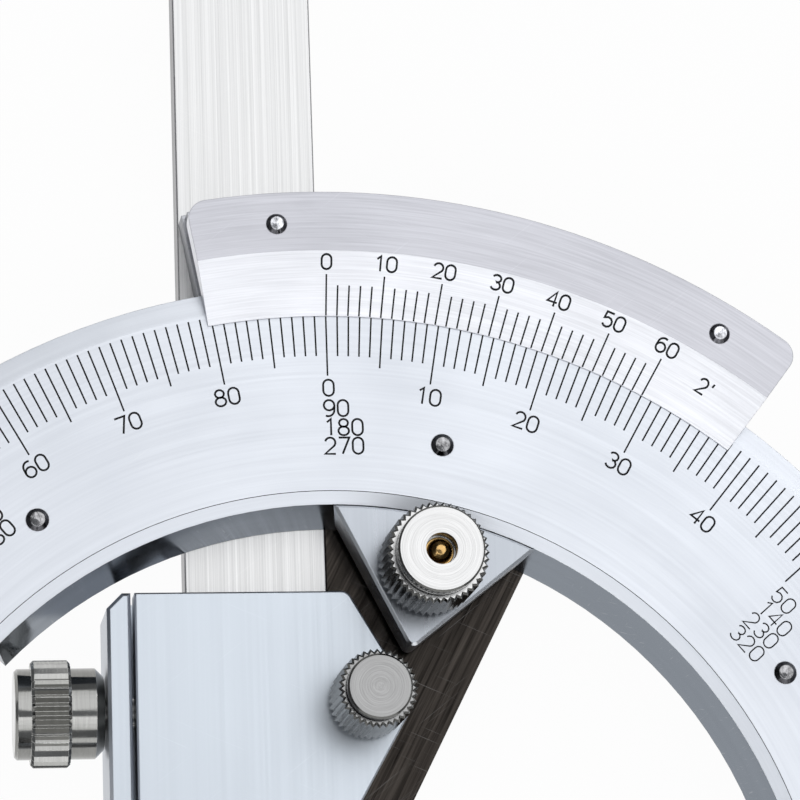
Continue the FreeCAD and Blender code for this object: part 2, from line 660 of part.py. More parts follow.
def brake_shoe():
    """A three-cornered shoe: one side is an arc that wedges on the scale's inner wall."""
    tip = on_scale(shoe_tip_radius, SHOE_TIP_ANGLE)
    start = on_scale(shoe_wall_radius(0), SHOE_START_ANGLE)
    end = on_scale(shoe_wall_radius(0), SHOE_END_ANGLE)
    beyond_start = start + (start - tip)
    beyond_end = end + (end - tip)
    blank = prism([
        (tip.x, tip.y), (beyond_end.x, beyond_end.y), (beyond_start.x, beyond_start.y)],
        -SHOE_THICKNESS, 0)
    blank = fillet_upright(blank, SHOE_TIP_RADIUS, [(tip.x, tip.y)])
    cone = turned([
        (0, -SHOE_THICKNESS), (shoe_wall_radius(-SHOE_THICKNESS), -SHOE_THICKNESS),
        (shoe_wall_radius(0), 0), (0, 0)])
    shoe = blank.common(cone)
    shoe = chamfer_level(shoe, SHOE_CHAMFER, 0)
    return shoe.cut(disc(brake_axis, STUD_RADIUS + RUNNING_GAP, -SHOE_THICKNESS, 0))


def brake_nut():
    """A knurled nut with a turned rim, open at the top so that the stud shows."""
    knurl_top = NUT_HEIGHT - NUT_RIM_HEIGHT
    rib_low = knurl_top + RIM_GROOVE_WIDTH
    rib_high = rib_low + RIM_GROOVE_WIDTH
    disc_low = rib_high + RIM_GROOVE_WIDTH
    neck_radius = NUT_TOP_RADIUS - RIM_GROOVE_DEPTH
    foot = Part.makeCylinder(NUT_TOP_RADIUS, NUT_COLLAR_HEIGHT)
    knurl = ridged(NUT_RADIUS, KNURL_DEPTH, NUT_TEETH, NUT_COLLAR_HEIGHT, knurl_top, 0, KNURL_BEVEL)
    top = turned([
        (0, knurl_top), (neck_radius, knurl_top), (neck_radius, rib_low), (NUT_TOP_RADIUS, rib_low),
        (NUT_TOP_RADIUS, rib_high), (neck_radius, rib_high), (neck_radius, disc_low),
        (NUT_TOP_RADIUS, disc_low), (NUT_TOP_RADIUS, NUT_HEIGHT - RIM_BEVEL),
        (NUT_TOP_RADIUS - RIM_BEVEL, NUT_HEIGHT), (0, NUT_HEIGHT)])
    nut = foot.fuse(knurl).fuse(top).removeSplitter()
    thread = Part.makeCylinder(STUD_RADIUS + RUNNING_GAP, NUT_HEIGHT)
    mouth = Part.makeCylinder(NUT_BORE_RADIUS, NUT_RIM_HEIGHT, Vector(0, 0, knurl_top))
    nut = nut.cut(thread).cut(mouth)
    nut.translate(brake_axis)
    return nut


# ---- The two clamps ---------------------------------------------------------------

def sector_clamp_place(shape):
    """Move a piece of a clamp from the clamp's own frame to the sector plate."""
    placed = shape.copy()
    placed.translate(Vector(0, sector_clamp_y, 0))
    return placed


def blade_clamp_place(shape):
    """Move a piece of a clamp to the foot of the square: its x runs up, along +Y."""
    quarter_turn = Matrix()
    quarter_turn.rotateZ(math.radians(90))
    placed = shape.copy()
    placed.transformShape(quarter_turn)
    placed.translate(Vector(blade_clamp_x, square_foot_bottom, 0))
    return placed


def sector_clamp_knob_axis():
    """The axis of the knob screw through the sector plate."""
    return Vector(CLAMP_KNOB_X, sector_clamp_y, 0)


def blade_clamp_knob_axis():
    """The axis of the knob screw through the foot of the square."""
    return Vector(blade_clamp_x, square_foot_bottom + CLAMP_KNOB_X, 0)


def clamp_wall_inner(bar_width):
    """The x of the wall's inner face."""
    return -bar_width - CLAMP_SIDE_ROOM


def clamp_outline(left_x):
    """A clamp plate in plan: straight sides, then a blunt nose over the held plate."""
    return [
        (left_x, -CLAMP_HALF_WIDTH), (CLAMP_SHOULDER_X, -CLAMP_HALF_WIDTH),
        (CLAMP_NOSE_X, 0), (CLAMP_SHOULDER_X, CLAMP_HALF_WIDTH), (left_x, CLAMP_HALF_WIDTH)]


def clamp_cover(bar_width):
    """The front plate of a clamp, bevelled all round."""
    left = clamp_wall_inner(bar_width) + CLAMP_WALL_GAP
    cover = prism(clamp_outline(left), plate_top, cover_top)
    cover = fillet_upright(cover, CLAMP_NOSE_RADIUS, [
        (CLAMP_NOSE_X, 0), (CLAMP_SHOULDER_X, CLAMP_HALF_WIDTH), (CLAMP_SHOULDER_X, -CLAMP_HALF_WIDTH)])
    cover = chamfer_level(cover, CLAMP_CHAMFER / 2, cover_top)
    centre = Vector(CLAMP_KNOB_X, 0, 0)
    cover = cover.cut(disc(centre, CLAMP_SCREW_RADIUS + RUNNING_GAP, plate_top, cover_top))
    pin_hole_radius = CLAMP_PIN_RADIUS + RUNNING_GAP
    for side in (-1, 1):
        pin_centre = clamp_pin_centre(bar_width, side)
        cover = cover.cut(disc(pin_centre, pin_hole_radius, plate_top, pin_top() + SLIDE_GAP))
    return cover


def pin_top():
    """The top of a clamp's guide pins, inside the cover."""
    return cover_top - BLIND_COVER


def clamp_pin_centre(bar_width, side):
    """A guide pin stands beside the pad, between the bar and the wall."""
    return Vector(-bar_width - CLAMP_SIDE_ROOM / 2, side * CLAMP_PIN_Y, 0)


def clamp_body(bar_width):
    """The back plate and the wall of a clamp, in one piece."""
    inner = clamp_wall_inner(bar_width)
    outer = inner - CLAMP_WALL_THICKNESS
    back = prism(clamp_outline(outer), back_bottom, plate_bottom)
    back = fillet_upright(back, CLAMP_NOSE_RADIUS, [
        (CLAMP_NOSE_X, 0), (CLAMP_SHOULDER_X, CLAMP_HALF_WIDTH), (CLAMP_SHOULDER_X, -CLAMP_HALF_WIDTH)])
    wall = prism([
        (outer, -CLAMP_HALF_WIDTH), (inner, -CLAMP_HALF_WIDTH),
        (inner, CLAMP_HALF_WIDTH), (outer, CLAMP_HALF_WIDTH)], back_bottom, cover_top)
    body = back.fuse(wall).removeSplitter()
    corner = prism([
        (outer, CLAMP_HALF_WIDTH), (outer + CLAMP_CORNER, CLAMP_HALF_WIDTH),
        (outer, CLAMP_HALF_WIDTH - CLAMP_CORNER)], back_bottom, cover_top)
    body = body.cut(corner)
    body = body.cut(corner.mirror(Vector(0, 0, 0), Vector(0, 1, 0)))
    body = chamfer_level(body, CLAMP_CHAMFER, cover_top)
    bore_start = Vector(outer, 0, plate_middle)
    bore_radius = SIDE_SCREW_RADIUS + RUNNING_GAP
    body = body.cut(Part.makeCylinder(bore_radius, CLAMP_WALL_THICKNESS, bore_start, Vector(1, 0, 0)))
    centre = Vector(CLAMP_KNOB_X, 0, 0)
    body = body.cut(disc(centre, CLAMP_SCREW_RADIUS + RUNNING_GAP, back_bottom, plate_bottom))
    for side in (-1, 1):
        pin = disc(clamp_pin_centre(bar_width, side), CLAMP_PIN_RADIUS, back_bottom, plate_bottom)
        body = body.cut(pin)
    return body


def clamp_pins(bar_width):
    """Two dowels in the back plate, which keep the cover in line."""
    pins = []
    for side in (-1, 1):
        pins.append(disc(clamp_pin_centre(bar_width, side), CLAMP_PIN_RADIUS, back_bottom, pin_top()))
    return Part.makeCompound(pins)


def clamp_knob():
    """The knurled screw that draws the cover down on the held plate."""
    high = cover_top + CLAMP_KNOB_HEIGHT
    knurl_low = cover_top + CLAMP_KNOB_COLLAR
    knurl_top = high - CLAMP_KNOB_RIM
    rim_low = knurl_top + RIM_GROOVE_WIDTH
    neck_radius = CLAMP_KNOB_TOP_RADIUS - RIM_GROOVE_DEPTH
    neck = Part.makeCylinder(CLAMP_KNOB_TOP_RADIUS, CLAMP_KNOB_COLLAR, Vector(0, 0, cover_top))
    grip = ridged(CLAMP_KNOB_RADIUS, KNURL_DEPTH, CLAMP_KNOB_TEETH, knurl_low, knurl_top, 0, KNURL_BEVEL)
    top = turned([
        (0, knurl_top), (neck_radius, knurl_top), (neck_radius, rim_low),
        (CLAMP_KNOB_TOP_RADIUS, rim_low), (CLAMP_KNOB_TOP_RADIUS, high - RIM_BEVEL),
        (CLAMP_KNOB_TOP_RADIUS - RIM_BEVEL, high), (0, high)])
    shank = Part.makeCylinder(CLAMP_SCREW_RADIUS, cover_top - back_bottom, Vector(0, 0, back_bottom))
    knob = neck.fuse(grip).fuse(top).fuse(shank).removeSplitter()
    knob.translate(Vector(CLAMP_KNOB_X, 0, 0))
    return knob


def clamp_pad(bar_width):
    """The pad that the side screw presses against the bar."""
    right = -bar_width - FACE_GAP
    left = right - PAD_THICKNESS
    pad = prism([
        (left, -PAD_HALF_LENGTH), (right, -PAD_HALF_LENGTH),
        (right, PAD_HALF_LENGTH), (left, PAD_HALF_LENGTH)], bar_bottom, bar_top)
    pocket_radius = SIDE_TIP_RADIUS + RUNNING_GAP
    pocket_depth = SIDE_TIP_LENGTH + SLIDE_GAP
    pocket_start = Vector(left, 0, plate_middle)
    return pad.cut(Part.makeCylinder(pocket_radius, pocket_depth, pocket_start, Vector(1, 0, 0)))


def clamp_screw(bar_width):
    """The side screw: a tip in the pad, a shank in the wall, a flared collar, a knurl and a cap."""
    pad_left = -bar_width - FACE_GAP - PAD_THICKNESS
    tip = pad_left + SIDE_TIP_LENGTH
    shoulder = pad_left - SLIDE_GAP
    flare = clamp_wall_inner(bar_width) - CLAMP_WALL_THICKNESS - SIDE_HEAD_GAP
    collar = flare - SIDE_FLARE_LENGTH
    knurl_right = collar - SIDE_NECK_LENGTH
    knurl_left = knurl_right - SIDE_KNURL_LENGTH
    cap = knurl_left - SIDE_CAP_LENGTH
    flare_radius = SIDE_COLLAR_RADIUS - SIDE_FLARE_LENGTH
    body = turned([
        (0, -tip), (SIDE_TIP_RADIUS, -tip), (SIDE_TIP_RADIUS, -shoulder), (SIDE_SCREW_RADIUS, -shoulder),
        (SIDE_SCREW_RADIUS, -flare), (flare_radius, -flare), (SIDE_COLLAR_RADIUS, -collar),
        (SIDE_COLLAR_RADIUS, -cap - KNURL_BEVEL), (SIDE_COLLAR_RADIUS - KNURL_BEVEL, -cap), (0, -cap)])
    grip = ridged(
        SIDE_KNURL_RADIUS, SIDE_KNURL_DEPTH, SIDE_KNURL_TEETH,
        -knurl_right, -knurl_left, KNURL_BEVEL, KNURL_BEVEL)
    screw = body.fuse(grip).removeSplitter()
    screw.rotate(Vector(0, 0, 0), Vector(0, 1, 0), -90)
    screw.translate(Vector(0, 0, plate_middle))
    return screw


# ---- The square and the blade -----------------------------------------------------

def square():
    """The square: its long leg slides on the sector plate, its foot holds the blade."""
    right = -FACE_GAP
    left = right - SQUARE_WIDTH
    foot_left = -SQUARE_FOOT_LENGTH
    foot_top = square_foot_bottom + SQUARE_FOOT_WIDTH
    body = prism([
        (foot_left, square_foot_bottom), (right, square_foot_bottom), (right, SQUARE_TOP_Y),
        (left, SQUARE_TOP_Y), (left, foot_top), (foot_left, foot_top)], bar_bottom, bar_top)
    body = chamfer_level(body, EDGE_CHAMFER / 2, bar_top)
    body = chamfer_level(body, EDGE_CHAMFER / 2, bar_bottom)
    relief = disc(Vector(left, foot_top, 0), SQUARE_RELIEF_RADIUS, bar_bottom, bar_top)
    hole = disc(blade_clamp_knob_axis(), CLAMP_SCREW_RADIUS + RUNNING_GAP, bar_bottom, bar_top)
    return body.cut(relief).cut(hole)


def blade():
    """The straight blade, held under the foot of the square and level with its left end."""
    top = square_foot_bottom - FACE_GAP
    bottom = top - BLADE_WIDTH
    left = -SQUARE_FOOT_LENGTH
    right = left + BLADE_LENGTH
    body = prism([(left, bottom), (right, bottom), (right, top), (left, top)], bar_bottom, bar_top)
    body = chamfer_level(body, EDGE_CHAMFER / 2, bar_top)
    return chamfer_level(body, EDGE_CHAMFER / 2, bar_bottom)


def main():
    """Build and write every sub-part."""
    export("main_scale", main_scale())
    export("sector_gear", sector_gear())
    export("scale_rivets", scale_rivets())
    export("base_rule", base_rule())
    export("base_rule_screws", base_rule_screws())
    export("sector_plate", sector_plate())
    export("vernier_support", vernier_support())
    export("vernier_spacer", vernier_spacer())
    export("vernier_plate", vernier_plate())
    export("vernier_rivets", vernier_rivets())
    export("vernier_screws", vernier_screws())
    export("pinion_bush", pinion_bush())
    export("pinion_shaft", pinion_shaft())
    export("pinion_knob", pinion_knob())
    export("pinion_knob_screw", pinion_knob_screw())
    export("brake_stud", brake_stud())
    export("brake_spring", brake_spring())
    export("brake_shoe", brake_shoe())
    export("brake_nut", brake_nut())
    clamps = [
        ("sector_clamp", sector_clamp_place, SQUARE_WIDTH),
        ("blade_clamp", blade_clamp_place, BLADE_WIDTH)]
    for name, place, bar_width in clamps:
        export(name + "_body", place(clamp_body(bar_width)))
        export(name + "_pins", place(clamp_pins(bar_width)))
        export(name + "_cover", place(clamp_cover(bar_width)))
        export(name + "_knob", place(clamp_knob()))
        export(name + "_pad", place(clamp_pad(bar_width)))
        export(name + "_screw", place(clamp_screw(bar_width)))
    export("square", square())
    export("blade", blade())


main()
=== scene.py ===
import math

import bmesh
import bpy
from mathutils import Euler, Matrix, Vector


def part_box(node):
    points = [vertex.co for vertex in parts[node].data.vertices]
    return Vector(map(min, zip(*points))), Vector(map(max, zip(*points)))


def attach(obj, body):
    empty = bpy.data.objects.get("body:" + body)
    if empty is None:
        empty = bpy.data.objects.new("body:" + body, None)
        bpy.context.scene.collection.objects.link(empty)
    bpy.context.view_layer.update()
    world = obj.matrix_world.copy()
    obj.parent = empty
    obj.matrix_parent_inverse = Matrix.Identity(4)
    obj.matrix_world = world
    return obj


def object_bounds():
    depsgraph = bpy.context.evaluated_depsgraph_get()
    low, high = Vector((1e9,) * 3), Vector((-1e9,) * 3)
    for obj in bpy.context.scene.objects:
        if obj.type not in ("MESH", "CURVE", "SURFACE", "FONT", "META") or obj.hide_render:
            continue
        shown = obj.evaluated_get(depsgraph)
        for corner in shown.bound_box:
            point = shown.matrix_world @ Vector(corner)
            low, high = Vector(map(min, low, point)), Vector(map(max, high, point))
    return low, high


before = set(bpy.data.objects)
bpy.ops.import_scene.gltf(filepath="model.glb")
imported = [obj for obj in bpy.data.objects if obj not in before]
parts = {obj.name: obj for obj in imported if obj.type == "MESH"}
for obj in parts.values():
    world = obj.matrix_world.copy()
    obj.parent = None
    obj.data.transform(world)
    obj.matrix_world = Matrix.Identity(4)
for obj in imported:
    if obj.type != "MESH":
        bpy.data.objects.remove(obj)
cad_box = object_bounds()

# Lengths are in millimetres where a name ends in _MM or a comment says so, and in metres in Blender.
# Scale angles are read clockwise from +Y, about the origin, as on the instrument.
MM = 0.001


# ---- Shader groups that several finishes share --------------------------------------

# Noise lies mostly near one half: these spans of it are stretched to 0..1 for each effect.
STREAK_SPAN = (0.34, 0.66)
SMUDGE_SPAN = (0.35, 0.65)
HAIRLINE_SPAN = (0.70, 0.80)
FINE_SHARE, BROAD_SHARE = 0.72, 0.28
BROAD_ALONG, BROAD_ACROSS = 0.4, 0.22
DEPTH_CHANGE_PER_MM = 0.8
GRAIN_DETAIL, GRAIN_ROUGHNESS = 5.0, 0.65
LEAST_RADIUS_MM = 0.01
# Hairline scratches: turn in degrees, length in mm and lines per mm.
HAIRLINES = ((24.0, 9.0, 7.0), (-38.0, 14.0, 6.0))
HAIRLINE_CHANGE_PER_MM = 0.6
# How far the rounded normal agrees with the face: from plain face to full edge.
EDGE_SPAN = (0.995, 0.88)
EDGE_SAMPLES = 4


def new_group(name, inputs, outputs):
    """An empty shader group with named sockets; returns it with its two end nodes."""
    group = bpy.data.node_groups.new(name, "ShaderNodeTree")
    for label, kind, value in inputs:
        socket = group.interface.new_socket(label, in_out="INPUT", socket_type=kind)
        if value is not None:
            socket.default_value = value
    for label, kind in outputs:
        group.interface.new_socket(label, in_out="OUTPUT", socket_type=kind)
    return group, group.nodes.new("NodeGroupInput"), group.nodes.new("NodeGroupOutput")


def math_node(tree, operation, first, second=None, clamp=False):
    """A Math node fed by sockets or plain numbers; returns its output socket."""
    node = tree.nodes.new("ShaderNodeMath")
    node.operation = operation
    node.use_clamp = clamp
    for index, value in enumerate((first, second)):
        if value is None:
            continue
        if isinstance(value, (int, float)):
            node.inputs[index].default_value = value
        else:
            tree.links.new(value, node.inputs[index])
    return node.outputs[0]


def vector_node(tree, operation, first, second=None):
    """A Vector Math node; returns the node, because its output may be a vector or a value."""
    node = tree.nodes.new("ShaderNodeVectorMath")
    node.operation = operation
    for index, value in enumerate((first, second)):
        if value is None:
            continue
        if isinstance(value, (tuple, list)):
            node.inputs[index].default_value = value
        else:
            tree.links.new(value, node.inputs[index])
    return node


def combine(tree, x, y, z):
    """A vector from three sockets or numbers."""
    node = tree.nodes.new("ShaderNodeCombineXYZ")
    for index, value in enumerate((x, y, z)):
        if isinstance(value, (int, float)):
            node.inputs[index].default_value = value
        else:
            tree.links.new(value, node.inputs[index])
    return node.outputs[0]


def noise(tree, vector, scale, detail, roughness=0.55):
    """A Noise texture's value."""
    node = tree.nodes.new("ShaderNodeTexNoise")
    node.inputs["Scale"].default_value = scale
    node.inputs["Detail"].default_value = detail
    node.inputs["Roughness"].default_value = roughness
    tree.links.new(vector, node.inputs["Vector"])
    return node.outputs["Fac"]


def remap(tree, value, low, high, to_low=0.0, to_high=1.0):
    """A value mapped from one span to another, and held inside it."""
    node = tree.nodes.new("ShaderNodeMapRange")
    tree.links.new(value, node.inputs["Value"])
    for label, number in (("From Min", low), ("From Max", high), ("To Min", to_low), ("To Max", to_high)):
        node.inputs[label].default_value = number
    return node.outputs[0]


def part_point(tree):
    """A point of the piece in its own frame, in millimetres, so that a finish moves with the piece."""
    coordinate = tree.nodes.new("ShaderNodeTexCoord")
    node = vector_node(tree, "SCALE", coordinate.outputs["Object"])
    node.inputs["Scale"].default_value = 1 / MM
    return node.outputs[0]


def straight_grain_group():
    """Fine lines ground along one direction: Shade is lighter and darker streaks, Height their depth."""
    group, ends_in, ends_out = new_group(
        "straight_grain",
        [("Along", "NodeSocketVector", (0, 1, 0)), ("Across", "NodeSocketVector", (1, 0, 0)),
         ("Lines per mm", "NodeSocketFloat", 4.0), ("Streak length mm", "NodeSocketFloat", 40.0)],
        [("Shade", "NodeSocketFloat"), ("Height", "NodeSocketFloat")])
    point = part_point(group)
    along = vector_node(group, "DOT_PRODUCT", point, ends_in.outputs["Along"]).outputs["Value"]
    across = vector_node(group, "DOT_PRODUCT", point, ends_in.outputs["Across"]).outputs["Value"]
    level = group.nodes.new("ShaderNodeSeparateXYZ")
    group.links.new(point, level.inputs[0])
    u = math_node(group, "DIVIDE", along, ends_in.outputs["Streak length mm"])
    v = math_node(group, "MULTIPLY", across, ends_in.outputs["Lines per mm"])
    w = math_node(group, "MULTIPLY", level.outputs["Z"], DEPTH_CHANGE_PER_MM)
    fine = noise(group, combine(group, u, v, w), 1.0, GRAIN_DETAIL, GRAIN_ROUGHNESS)
    broad_along = math_node(group, "MULTIPLY", u, BROAD_ALONG)
    broad_across = math_node(group, "MULTIPLY", v, BROAD_ACROSS)
    broad = noise(group, combine(group, broad_along, broad_across, w), 1.0, 2.0)
    total = math_node(
        group, "ADD", math_node(group, "MULTIPLY", fine, FINE_SHARE),
        math_node(group, "MULTIPLY", broad, BROAD_SHARE))
    group.links.new(remap(group, total, *STREAK_SPAN), ends_out.inputs["Shade"])
    group.links.new(fine, ends_out.inputs["Height"])
    return group


def arc_grain_group():
    """Fine lines ground round a centre, as on a ring or on a turned face."""
    group, ends_in, ends_out = new_group(
        "arc_grain",
        [("Centre mm", "NodeSocketVector", (0, 0, 0)), ("Lines per mm", "NodeSocketFloat", 4.0),
         ("Turns of change", "NodeSocketFloat", 3.0)],
        [("Shade", "NodeSocketFloat"), ("Height", "NodeSocketFloat")])
    point = part_point(group)
    offset = vector_node(group, "SUBTRACT", point, ends_in.outputs["Centre mm"]).outputs[0]
    axes = group.nodes.new("ShaderNodeSeparateXYZ")
    group.links.new(offset, axes.inputs[0])
    radius = math_node(
        group, "SQRT", math_node(
            group, "ADD", math_node(group, "MULTIPLY", axes.outputs["X"], axes.outputs["X"]),
            math_node(group, "MULTIPLY", axes.outputs["Y"], axes.outputs["Y"])))
    safe = math_node(group, "MAXIMUM", radius, LEAST_RADIUS_MM)
    turns = ends_in.outputs["Turns of change"]
    east = math_node(group, "MULTIPLY", math_node(group, "DIVIDE", axes.outputs["X"], safe), turns)
    north = math_node(group, "MULTIPLY", math_node(group, "DIVIDE", axes.outputs["Y"], safe), turns)
    lines = math_node(group, "MULTIPLY", radius, ends_in.outputs["Lines per mm"])
    fine = noise(group, combine(group, lines, east, north), 1.0, GRAIN_DETAIL, GRAIN_ROUGHNESS)
    group.links.new(remap(group, fine, *STREAK_SPAN), ends_out.inputs["Shade"])
    group.links.new(fine, ends_out.inputs["Height"])
    return group


def handling_group():
    """What use leaves on metal: soft smudges, and a few hairline scratches at two slants."""
    group, ends_in, ends_out = new_group(
        "handling",
        [("Smudge size mm", "NodeSocketFloat", 9.0), ("Scratch cover", "NodeSocketFloat", 0.5)],
        [("Smudge", "NodeSocketFloat"), ("Scratch", "NodeSocketFloat")])
    point = part_point(group)
    size = math_node(group, "DIVIDE", 1.0, ends_in.outputs["Smudge size mm"])
    scaled = vector_node(group, "SCALE", point)
    group.links.new(size, scaled.inputs["Scale"])
    smudges = noise(group, scaled.outputs[0], 1.0, 3.0)
    group.links.new(remap(group, smudges, *SMUDGE_SPAN), ends_out.inputs["Smudge"])
    lines = []
    for turn, length, fineness in HAIRLINES:
        spin = group.nodes.new("ShaderNodeVectorRotate")
        spin.rotation_type = "Z_AXIS"
        spin.inputs["Angle"].default_value = math.radians(turn)
        group.links.new(point, spin.inputs["Vector"])
        stretched = vector_node(
            group, "MULTIPLY", spin.outputs[0], (1 / length, fineness, HAIRLINE_CHANGE_PER_MM)).outputs[0]
        lines.append(remap(group, noise(group, stretched, 1.0, 1.0), *HAIRLINE_SPAN))
    both = math_node(group, "MAXIMUM", lines[0], lines[1])
    covered = math_node(group, "MULTIPLY", both, ends_in.outputs["Scratch cover"])
    group.links.new(covered, ends_out.inputs["Scratch"])
    return group


def edge_group():
    """Machined edges: Edge is a mask of the last tenth of a millimetre, for wear and painted highlight,
    Normal is the rounded normal.
    """
    group, ends_in, ends_out = new_group(
        "machined_edge",
        [("Radius", "NodeSocketFloat", 0.12 * MM)],
        [("Edge", "NodeSocketFloat"), ("Normal", "NodeSocketVector")])
    rounded = group.nodes.new("ShaderNodeBevel")
    rounded.samples = EDGE_SAMPLES
    group.links.new(ends_in.outputs["Radius"], rounded.inputs["Radius"])
    geometry = group.nodes.new("ShaderNodeNewGeometry")
    match = vector_node(group, "DOT_PRODUCT", rounded.outputs[0], geometry.outputs["Normal"])
    group.links.new(remap(group, match.outputs["Value"], *EDGE_SPAN), ends_out.inputs["Edge"])
    group.links.new(rounded.outputs[0], ends_out.inputs["Normal"])
    return group


def facing_group():
    """Flat is 1 on faces that lie level, and 0 on walls and steep bevels; it divides the face colour from
    the painted light and shade of the walls.
    """
    group, ends_in, ends_out = new_group(
        "level_faces",
        [("Level from", "NodeSocketFloat", 0.9), ("Level to", "NodeSocketFloat", 0.99)],
        [("Flat", "NodeSocketFloat")])
    geometry = group.nodes.new("ShaderNodeNewGeometry")
    turned_back = group.nodes.new("ShaderNodeVectorTransform")
    turned_back.vector_type = "NORMAL"
    turned_back.convert_from = "WORLD"
    turned_back.convert_to = "OBJECT"
    group.links.new(geometry.outputs["True Normal"], turned_back.inputs[0])
    axes = group.nodes.new("ShaderNodeSeparateXYZ")
    group.links.new(turned_back.outputs[0], axes.inputs[0])
    level = math_node(group, "ABSOLUTE", axes.outputs["Z"])
    node = group.nodes.new("ShaderNodeMapRange")
    group.links.new(level, node.inputs["Value"])
    group.links.new(ends_in.outputs["Level from"], node.inputs["From Min"])
    group.links.new(ends_in.outputs["Level to"], node.inputs["From Max"])
    group.links.new(node.outputs[0], ends_out.inputs["Flat"])
    return group


straight_grain = straight_grain_group()
arc_grain = arc_grain_group()
handling = handling_group()
machined_edge = edge_group()
level_faces = facing_group()


# ---- Finishes -----------------------------------------------------------------------

def use_group(tree, group, **values):
    """Place a shared group in a material with its own values."""
    node = tree.nodes.new("ShaderNodeGroup")
    node.node_tree = group
    for label, value in values.items():
        node.inputs[label.replace("_", " ")].default_value = value
    return node


def mix_colour(tree, mask, first, second, blend="MIX"):
    """A colour between two, by a mask; first and second are sockets or plain colours."""
    node = tree.nodes.new("ShaderNodeMix")
    node.data_type = "RGBA"
    node.blend_type = blend
    sockets = {s.identifier: s for s in node.inputs}
    for socket, value in (
            (sockets["Factor_Float"], mask), (sockets["A_Color"], first), (sockets["B_Color"], second)):
        if isinstance(value, (int, float)):
            socket.default_value = value
        elif isinstance(value, tuple):
            socket.default_value = (*value, 1.0)
        else:
            tree.links.new(value, socket)
    return next(s for s in node.outputs if s.identifier == "Result_Color")


SMUDGE_DARK = (0.975,) * 3
SMUDGE_LIGHT = (1.02,) * 3
SCRATCH_GAIN, SCRATCH_LIFT, SCRATCH_MOST = 1.25, 0.08, 1.0
# Edges are lightened partly for real wear, partly as painted highlight.
EDGE_GAIN, EDGE_LIFT, EDGE_MOST = 1.15, 0.05, 0.95
LINE_ROUGHNESS = 0.03
GRAIN_BUMP = 0.6
SCRATCH_BUMP = 0.8


def brightened(colour, gain, lift, most):
    """A colour made lighter, as metal is where it is rubbed, and as a painted highlight on edges."""
    return tuple(min(most, c * gain + lift) for c in colour)


def steel(name, colour, painted_wall_colour, roughness, grain, grain_shade=0.06, grain_depth=0.02,
          scratch=0.3, smudge_size=9.0, wall_roughness=None, edge_colour=None, edge_radius=0.12,
          level_from=0.9, level_to=0.99, edge_wear_and_highlight=0.5, smudge_rough=0.06):
    """A metal with ground lines, smudges, hairlines, and edges made bright by wear and by painted
    highlight.

    colour is for level faces and the wall colour for walls and bevels, lighter or darker than the faces
    as painted highlight and painted shade. The depths, sizes and radii are in millimetres.
    grain is ("straight", along, across, lines, length) or ("arc", centre, lines, changes)."""
    material = bpy.data.materials.new(name)
    material.use_nodes = True
    tree = material.node_tree
    shader = tree.nodes["Principled BSDF"]
    shader.inputs["Metallic"].default_value = 1.0
    if grain[0] == "straight":
        lines = use_group(tree, straight_grain, Along=grain[1], Across=grain[2],
                          Lines_per_mm=grain[3], Streak_length_mm=grain[4])
    else:
        lines = use_group(tree, arc_grain, Centre_mm=grain[1], Lines_per_mm=grain[2],
                          Turns_of_change=grain[3])
    marks = use_group(tree, handling, Smudge_size_mm=smudge_size, Scratch_cover=scratch)
    edge = use_group(tree, machined_edge, Radius=edge_radius * MM)
    faces = use_group(tree, level_faces, Level_from=level_from, Level_to=level_to)
    # Walls and bevels take their own colour: painted shade where it is darker, painted highlight where it
    # is lighter.
    base = mix_colour(tree, faces.outputs["Flat"], painted_wall_colour, colour)
    streak = mix_colour(tree, lines.outputs["Shade"], (1 - grain_shade,) * 3, (1 + grain_shade,) * 3)
    streaked = mix_colour(tree, 1.0, base, streak, "MULTIPLY")
    cloud = mix_colour(tree, marks.outputs["Smudge"], SMUDGE_DARK, SMUDGE_LIGHT)
    clouded = mix_colour(tree, 1.0, streaked, cloud, "MULTIPLY")
    scratched = mix_colour(
        tree, marks.outputs["Scratch"], clouded,
        brightened(colour, SCRATCH_GAIN, SCRATCH_LIFT, SCRATCH_MOST))
    # Edges lighter: partly real wear, partly painted highlight.
    worn_and_highlit = mix_colour(
        tree, math_node(tree, "MULTIPLY", edge.outputs["Edge"], edge_wear_and_highlight), scratched,
        edge_colour or brightened(colour, EDGE_GAIN, EDGE_LIFT, EDGE_MOST))
    tree.links.new(worn_and_highlit, shader.inputs["Base Color"])
    rough_wall = roughness if wall_roughness is None else wall_roughness
    rough = remap(tree, faces.outputs["Flat"], 0.0, 1.0, rough_wall, roughness)
    rough = math_node(
        tree, "ADD", rough, remap(tree, marks.outputs["Smudge"], 0.0, 1.0, -smudge_rough, smudge_rough))
    line_rough = remap(tree, lines.outputs["Shade"], 0.0, 1.0, LINE_ROUGHNESS, -LINE_ROUGHNESS)
    rough = math_node(tree, "ADD", rough, line_rough, clamp=True)
    tree.links.new(rough, shader.inputs["Roughness"])
    bump = tree.nodes.new("ShaderNodeBump")
    bump.inputs["Strength"].default_value = GRAIN_BUMP
    bump.inputs["Distance"].default_value = grain_depth * MM
    height = math_node(
        tree, "SUBTRACT", lines.outputs["Height"],
        math_node(tree, "MULTIPLY", marks.outputs["Scratch"], SCRATCH_BUMP))
    tree.links.new(height, bump.inputs["Height"])
    tree.links.new(edge.outputs["Normal"], bump.inputs["Normal"])
    tree.links.new(bump.outputs["Normal"], shader.inputs["Normal"])
    return material


def set_finish(material, *names):
    """Give CAD nodes a finish."""
    for name in names:
        piece = parts[name]
        piece.data.materials.clear()
        piece.data.materials.append(material)


UP = (0.0, 1.0, 0.0)
RIGHT = (1.0, 0.0, 0.0)
ALONG_PLATE = (0.47, 0.88, 0.0)
ACROSS_PLATE = (0.88, -0.47, 0.0)


def axis_of(name):
    """The middle of a CAD node in plan, in millimetres."""
    low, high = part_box(name)
    return ((low.x + high.x) / 2 / MM, (low.y + high.y) / 2 / MM, 0.0)
